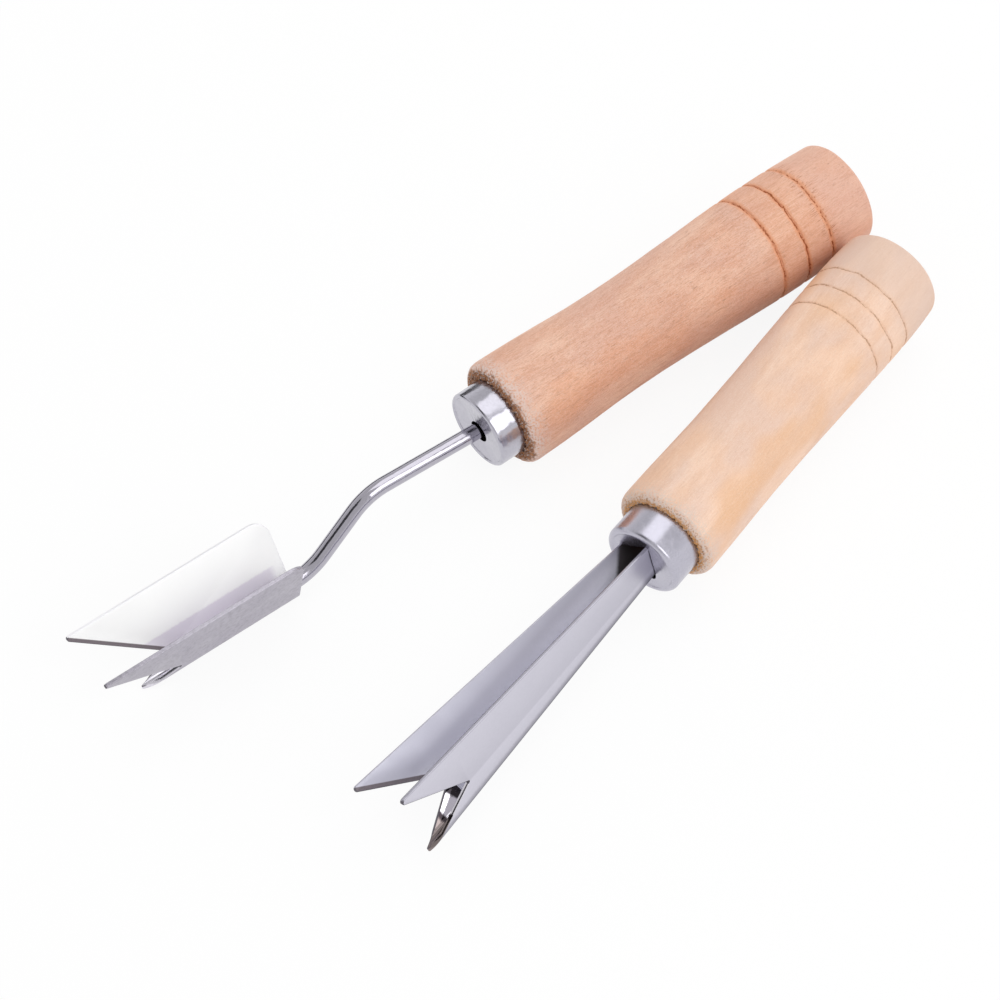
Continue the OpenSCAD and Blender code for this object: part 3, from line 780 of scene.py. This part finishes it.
def trimFlange(blade, side):  # the taper, the side of the notch and the rounded point
    half, middle, root, start = blade["half"], blade["middle"], blade["root"], blade["start"]
    reach, width, floor = blade["reach"], blade["frontWidth"], blade["floor"]
    out = Vector((side * math.cos(half), 0, -math.sin(half)))
    up = Vector((side * math.sin(half), 0, math.cos(half)))

    def flange(p, f):
        return p.dot(up) > 0 and abs(p.dot(out) - middle) < 0.01

    def front(p, f):
        return flange(p, f) and p.y < -root

    def above(p, f):
        return front(p, f) and p.dot(up) > floor

    def below(p, f):
        return front(p, f) and p.dot(up) < floor

    def across(test, y, height, awayY, awayUp, clear=True):  # a cut through a point of the flange
        at = out * middle + up * height + Vector((0, y, 0))
        away = (up * awayUp + Vector((0, awayY, 0))).normalized()
        pick("faces", test)
        bpy.ops.mesh.bisect(plane_co=at, plane_no=away)
        if clear:
            pick("faces", lambda p, f: test(p, f) and (p - at).dot(away) > 0)
            bpy.ops.mesh.delete(type="FACE")

    across(flange, -reach, width, blade["taper"], 1)
    across(flange, -root, 0, -1, 0, clear=False)
    across(front, 0, floor, 0, 1, clear=False)
    across(above, -root, floor, floor - width, root - reach)
    across(below, -root, floor, -floor, start - root)
    top, low = math.atan2(1, blade["taper"]), 2 * math.pi + math.atan2(root - reach, floor - width)
    middleway, radius = (top + low) / 2, folded["tip"]
    off = radius / math.cos((low - top) / 2)
    for i in range(1, folded["tipSteps"]):  # the point is rounded by flat cuts around one circle
        a = top + (low - top) * i / folded["tipSteps"]
        across(above, radius * math.cos(a) - off * math.cos(middleway) - reach,
               radius * math.sin(a) - off * math.sin(middleway) + width, math.cos(a), math.sin(a))


def curveNotch(blade):  # the notch is straight on the flat sheet, so it curves round the fold
    half, start, ahead = blade["half"], blade["start"], blade["ahead"]
    steps = folded["foldSteps"] // 2
    for i in range(steps + 1):
        level = -blade["middle"] * math.sin(half + i / steps * (math.pi / 2 - half))
        front = min(start + (ahead - start) * i / steps, ahead - folded["blunt"])
        pick("verts", lambda p, v: p.y < 0.01 - blade["reach"] and abs(p.z - level) < 0.005)
        bpy.ops.transform.translate(value=(0, blade["reach"] - front, 0))


def sortFaces(piece, blade, slots):  # gives each face the steel of its part
    half, reach, root, start = blade["half"], blade["reach"], blade["root"], blade["start"]
    tongueFrom = -root - folded["tongueOff"]
    for f in piece.data.polygons:
        p = f.center
        height = abs(p.x) * math.sin(half) + p.z * math.cos(half)
        away = abs(p.x) * math.cos(half) - p.z * math.sin(half) if height > 0 else math.hypot(p.x, p.z)
        depth = away - blade["middle"]  # from the middle of the sheet outwards
        onTongue = p.y < tongueFrom and height < blade["floor"] * (p.y + start) / (start - root) + 0.5
        top = blade["frontWidth"] - blade["taper"] * (p.y + reach)
        onRim = top - height < folded["edge"] and p.y > -reach + 1.5
        if abs(depth) > folded["sheet"] / 2 - 0.01:  # the flat sides of the sheet
            part = "Outside" if depth > 0 else "Point" if onTongue else "Inside"
        elif p.y < 0.5 - root and not onRim:  # the notches and the points
            part = "Point" if onTongue and p.x > 0 else "Cut"
        # a near rim may take another steel; on the fork this dark cut steel is partly painted shade along
        # the edge
        elif p.x > 0 and (depth < 0 or blade["nearRim"] == "Outside"):
            part = blade["nearRim"]
        else:
            part = "Rim"
        f.material_index = slots.index(part)


def foldBlade(name, place, steel, node, looks):
    blade = bladeShape(steel)
    piece = startPiece(name)
    foldSheet(blade)
    for side in (1, -1):
        trimFlange(blade, side)
    curveNotch(blade)
    bpy.ops.mesh.select_all(action="SELECT")
    bpy.ops.mesh.remove_doubles(threshold=0.001)
    bpy.ops.mesh.dissolve_limited(angle_limit=math.radians(0.5))
    pick("verts", lambda p, v: abs(p.y + blade["root"]) < 0.01)
    bpy.ops.mesh.bevel(offset=folded["root"], segments=5, affect="VERTICES", profile=0.5)
    if steel["roundBack"]:
        pick("verts", lambda p, v: p.y > steel["back"] - 0.01 and p.z > steel["backWidth"] / 2)
        bpy.ops.mesh.bevel(offset=steel["roundBack"], segments=8, affect="VERTICES", profile=0.5)
    closePiece()
    for part, look in looks.items():
        piece.data.materials.append(steelFinish(name + part, place, look, blade))
    modify(piece, "SOLIDIFY", thickness=folded["sheet"], offset=0, use_even_offset=True)
    modify(piece, "BEVEL", width=folded["edge"], segments=2, limit_method="ANGLE",
           angle_limit=math.radians(40))
    bpy.ops.object.mode_set(mode="EDIT")
    bpy.ops.mesh.select_all(action="SELECT")
    bpy.ops.mesh.bisect(plane_co=(0, -blade["root"] - folded["tongueOff"], 0), plane_no=(0, 1, 0))
    bpy.ops.object.mode_set(mode="OBJECT")
    sortFaces(piece, blade, list(looks))
    layPiece(piece, place, node, smooth=35)


# The cranked rod and its weld. The crank and the back bend are angles, the bend is a radius.
rodSteel = {
    "radius": 2.05, "tang": 45.0, "run": 27.3, "bend": 19.9, "crank": 30.5, "between": 12.5,
    "back": 28.5, "seat": 12.0, "seatPlay": 0.05, "round": 0.35, "bendSteps": 14,
}
weld = {
    "length": 7.0, "ripples": 10, "radius": 1.0, "squash": 0.55, "lean": 14.0, "rise": 0.75, "inset": 0.55,
    "melt": 0.1, "pit": 0.12, "pitSize": 1.1,
}


def bend(angle):
    drop = math.copysign(rodSteel["bend"], angle)
    return shift(z=-drop) @ turn(x=angle) @ shift(z=drop)


def drawRod(place):
    rod = rodSteel
    piece = startPiece("scraperRod")
    clearPiece()
    bpy.ops.mesh.primitive_circle_add(vertices=48, radius=rod["radius"])
    turnSelected(math.pi / 2, "X")
    bpy.ops.transform.translate(value=(0, rod["tang"], 0))
    bpy.ops.mesh.select_mode(type="EDGE")

    def draw(length, tilt):
        bpy.ops.mesh.extrude_edges_move(TRANSFORM_OT_translate={
            "value": (0, -length * math.cos(tilt), -length * math.sin(tilt))})

    crank = math.radians(rod["crank"])
    after = crank - math.radians(rod["back"])
    draw(rod["tang"] + rod["run"], 0)
    at = Vector((0, -rod["run"], 0))
    centre = at + Vector((0, 0, -rod["bend"]))
    bpy.ops.mesh.spin(steps=rod["bendSteps"], angle=crank, center=centre, axis=(-1, 0, 0))
    at += Vector((0, -math.sin(crank), math.cos(crank) - 1)) * rod["bend"]
    draw(rod["between"], crank)
    at += Vector((0, -math.cos(crank), -math.sin(crank))) * rod["between"]
    centre = at + Vector((0, -math.sin(crank), math.cos(crank))) * rod["bend"]
    bpy.ops.mesh.spin(steps=rod["bendSteps"], angle=crank - after, center=centre, axis=(1, 0, 0))
    draw(rod["seat"], after)
    bpy.ops.mesh.edge_face_add()
    pick("verts", lambda p, v: p.y > rod["tang"] - 0.01)
    bpy.ops.mesh.edge_face_add()
    bpy.ops.mesh.select_all(action="SELECT")
    bpy.ops.mesh.remove_doubles(threshold=0.001)
    closePiece()
    modify(piece, "BEVEL", width=rod["round"], segments=3, limit_method="ANGLE",
           angle_limit=math.radians(60))
    piece.data.materials.append(steelFinish("rodSteel", place, rodMetal))
    layPiece(piece, place, "scraper_rod", smooth=40)


def layWeld(place):  # one ripple, repeated along the joint and mirrored, then melted together
    half = math.radians(folded["halfAngle"])
    out = rodSteel["radius"] + rodSteel["seatPlay"] - weld["inset"]
    step = (weld["length"] - 2 * weld["radius"] * weld["squash"]) / (weld["ripples"] - 1)
    piece = startPiece("scraperWeld")
    clearPiece()
    bpy.ops.mesh.primitive_uv_sphere_add(segments=20, ring_count=12, radius=weld["radius"])
    bpy.ops.transform.resize(value=(1, weld["squash"], 1))
    turnSelected(math.radians(weld["lean"]), "X")
    bpy.ops.transform.translate(value=(
        out * math.cos(half) + weld["rise"] * math.sin(half), -weld["radius"] * weld["squash"],
        weld["rise"] * math.cos(half) - out * math.sin(half)))
    bpy.ops.object.mode_set(mode="OBJECT")
    modify(piece, "ARRAY", count=weld["ripples"], use_relative_offset=False, use_constant_offset=True,
           constant_offset_displace=(0, -step, 0))
    modify(piece, "MIRROR")
    modify(piece, "REMESH", mode="VOXEL", voxel_size=weld["melt"])
    wear(piece, weld["pitSize"], weld["pit"], level=0.9)
    piece.data.materials.append(steelFinish("weldSteel", place, weldMetal))
    layPiece(piece, place, "scraper_weld")


# The light, the floor and the camera, in metres.
view = {"at": (0.26185, -0.32695, 0.61794), "aim": (-0.00429, -0.00862, 0.0), "roll": -0.048, "lens": 107.83}
studio = {
    "horizon": 1.04, "overhead": 0.7, "horizonTo": 0.05, "overheadFrom": 0.6,
    "paper": 0.96, "glow": 0.9, "floorSize": 8, "card": (0.04, 0.04, 0.045, 1.0),
}
lamps = {
    "topSoftbox": {"at": (-0.12, 0.62, 1.1), "size": (1.0, 1.3), "level": 0.95},
    "sideSoftbox": {"at": (0.776, 0.045, 0.79), "size": (0.5, 0.78), "level": 1.8},
}
cards = {
    "frontCard": {"at": (-0.26, -0.42, 0.67), "size": (0.42, 0.5), "facing": (-0.026, -0.045, 0.01)},
    "backCard": {"at": (-0.1, -0.01, 0.012), "size": (0.12, 0.03), "facing": (-0.02, -0.04, 0.012)},
}


def makeCamera():
    bpy.ops.object.camera_add(location=view["at"])
    camera = bpy.context.object
    toAim = Vector(view["aim"]) - Vector(view["at"])
    camera.rotation_mode = "QUATERNION"
    camera.rotation_quaternion = (toAim.to_track_quat("-Z", "Y").to_matrix()
                                  @ Matrix.Rotation(view["roll"], 3, "Z")).to_quaternion()
    camera.data.lens = view["lens"]
    camera.data.sensor_width = 36
    scene.camera = camera


def makeFloor():
    bpy.ops.object.select_all(action="DESELECT")
    bpy.ops.mesh.primitive_plane_add(size=studio["floorSize"], location=(0, 0, cadBox[0].z - 0.0001))
    floor = bpy.context.object
    floor.name = "floor"
    bpy.ops.object.transform_apply(location=True)
    material = bpy.data.materials.new("floorPaper")
    material.use_nodes = True
    tree = material.node_tree
    shader = tree.nodes["Principled BSDF"]
    shader.inputs["Base Color"].default_value = (studio["paper"],) * 3 + (1,)
    shader.inputs["Roughness"].default_value = 0.9
    shader.inputs["Specular IOR Level"].default_value = 0.0
    glow = put(tree, "ShaderNodeEmission", {"Color": white, "Strength": 1.0})
    path = tree.nodes.new("ShaderNodeLightPath")  # the eye, mirrors and glass see the plain background
    rays = ("Is Camera Ray", "Is Glossy Ray", "Is Transmission Ray")
    seen = largest(tree, [path.outputs[ray] for ray in rays])
    mixed = put(tree, "ShaderNodeMixShader", {
        0: maths(tree, "MULTIPLY", seen, studio["glow"]), 1: shader.outputs[0], 2: glow.outputs[0]})
    tree.links.new(mixed.outputs[0], tree.nodes["Material Output"].inputs["Surface"])
    floor.data.materials.append(material)


def makeWorld():
    world = bpy.data.worlds.new("studio")
    scene.world = world
    world.use_nodes = True
    tree = world.node_tree
    shade = tree.nodes["Background"]
    coords = tree.nodes.new("ShaderNodeTexCoord")
    height = put(tree, "ShaderNodeSeparateXYZ", {0: coords.outputs["Generated"]}).outputs["Z"]
    level = remap(tree, height, studio["horizonTo"], studio["overheadFrom"],
                  studio["horizon"], studio["overhead"])
    tree.links.new(level, shade.inputs["Color"])
    shade.inputs["Strength"].default_value = 1.0


def makeLamp(name, at, size, level):  # the level is how bright the lamp's face looks, where 1 is white
    bpy.ops.object.light_add(type="AREA", location=at)
    lamp = bpy.context.object
    lamp.name = name
    lamp.rotation_euler = (-Vector(at)).to_track_quat("-Z", "Y").to_euler()
    lamp.data.shape = "RECTANGLE"
    lamp.data.size, lamp.data.size_y = size
    lamp.data.energy = level * math.pi * size[0] * size[1]
    lamp.visible_camera = False


def makeCard(name, at, size, facing):  # a dark card that only mirrors see
    bpy.ops.object.select_all(action="DESELECT")
    bpy.ops.mesh.primitive_plane_add(size=1)
    card = bpy.context.object
    card.name = name
    card.scale = (size[0], size[1], 1)
    card.rotation_euler = (Vector(facing) - Vector(at)).to_track_quat("Z", "Y").to_euler()
    card.location = at
    bpy.ops.object.transform_apply(location=True, rotation=True, scale=True)
    material = bpy.data.materials.new(name)
    material.use_nodes = True
    shader = material.node_tree.nodes["Principled BSDF"]
    shader.inputs["Base Color"].default_value = studio["card"]
    card.data.materials.append(material)
    card.visible_camera = False
    card.visible_diffuse = False
    card.visible_shadow = False


# How the two tools lie, side by side with their butts almost touching.
lay = {
    "forkX": 39.71, "forkY": -0.7, "spread": 14.1, "buttGap": 0.7, "meetBack": 12.4,
    "forkRoll": 35.0, "rodRoll": 22.0, "leanSide": -2.9, "leanDown": -1.8, "bladeTwist": -16.0,
}
foldOut = folded["foldRadius"] + folded["sheet"]
lift, tilt = rest(forkWood)
forkPlace = shift(lay["forkX"], lay["forkY"]) @ lift @ tilt
forkBladePlace = (forkPlace @ shift(y=-cups["forkLength"]) @ turn(y=-lay["forkRoll"])
                  @ shift(z=-forkSteel["drop"]) @ turn(x=forkSteel["slope"]) @ shift(z=foldOut))
buttAt = forkWood["length"] - turning["buttRound"]
meetAt = scraperWood["length"] - lay["meetBack"]
lift, tilt = rest(scraperWood)
scraperPlace = (shift(lay["forkX"] - woodRadius(forkWood, buttAt), lay["forkY"] + buttAt) @ lift
                @ turn(z=-lay["spread"])
                @ shift(-woodRadius(scraperWood, meetAt) - lay["buttGap"], -meetAt) @ tilt)
rodPlace = (scraperPlace @ shift(y=-cups["scraperLength"]) @ turn(z=lay["leanSide"])
            @ turn(x=lay["leanDown"]) @ turn(y=-lay["rodRoll"]))
seatPlace = (rodPlace @ shift(y=-rodSteel["run"]) @ bend(rodSteel["crank"])
             @ shift(y=-rodSteel["between"]) @ bend(-rodSteel["back"]) @ turn(y=-lay["bladeTwist"]))
seatRise = ((rodSteel["radius"] + rodSteel["seatPlay"] - folded["foldRadius"])
            / math.sin(math.radians(folded["halfAngle"])))
scraperBladePlace = seatPlace @ shift(z=-seatRise)

turnHandle("forkHandle", forkPlace, forkWood, paleWood, "fork_handle")
turnHandle("scraperHandle", scraperPlace, scraperWood, pinkWood, "scraper_handle")
drawFerrule("forkFerrule", forkPlace, cups["forkLength"], cups["forkRim"], punchTailHole,
            "fork_ferrule", satinChrome)
drawFerrule("scraperFerrule", scraperPlace, cups["scraperLength"], cups["scraperRim"], punchRodHole,
            "scraper_ferrule", chrome)
foldBlade("forkBlade", forkBladePlace, forkSteel, "fork_blade", {
    "Outside": forkOutside, "Inside": forkInside, "Point": forkPoint, "Cut": cutMetal, "Rim": forkRim})
foldBlade("scraperBlade", scraperBladePlace, scraperSteel, "scraper_blade", {
    "Outside": scraperOutside, "Inside": scraperInside, "Point": scraperPoint, "Cut": cutMetal,
    "Rim": scraperRim})
drawRod(rodPlace)
layWeld(seatPlace)

makeCamera()
makeFloor()
makeWorld()
for lampName, lamp in lamps.items():
    makeLamp(lampName, **lamp)
for cardName, card in cards.items():
    makeCard(cardName, **card)
print("stage done")
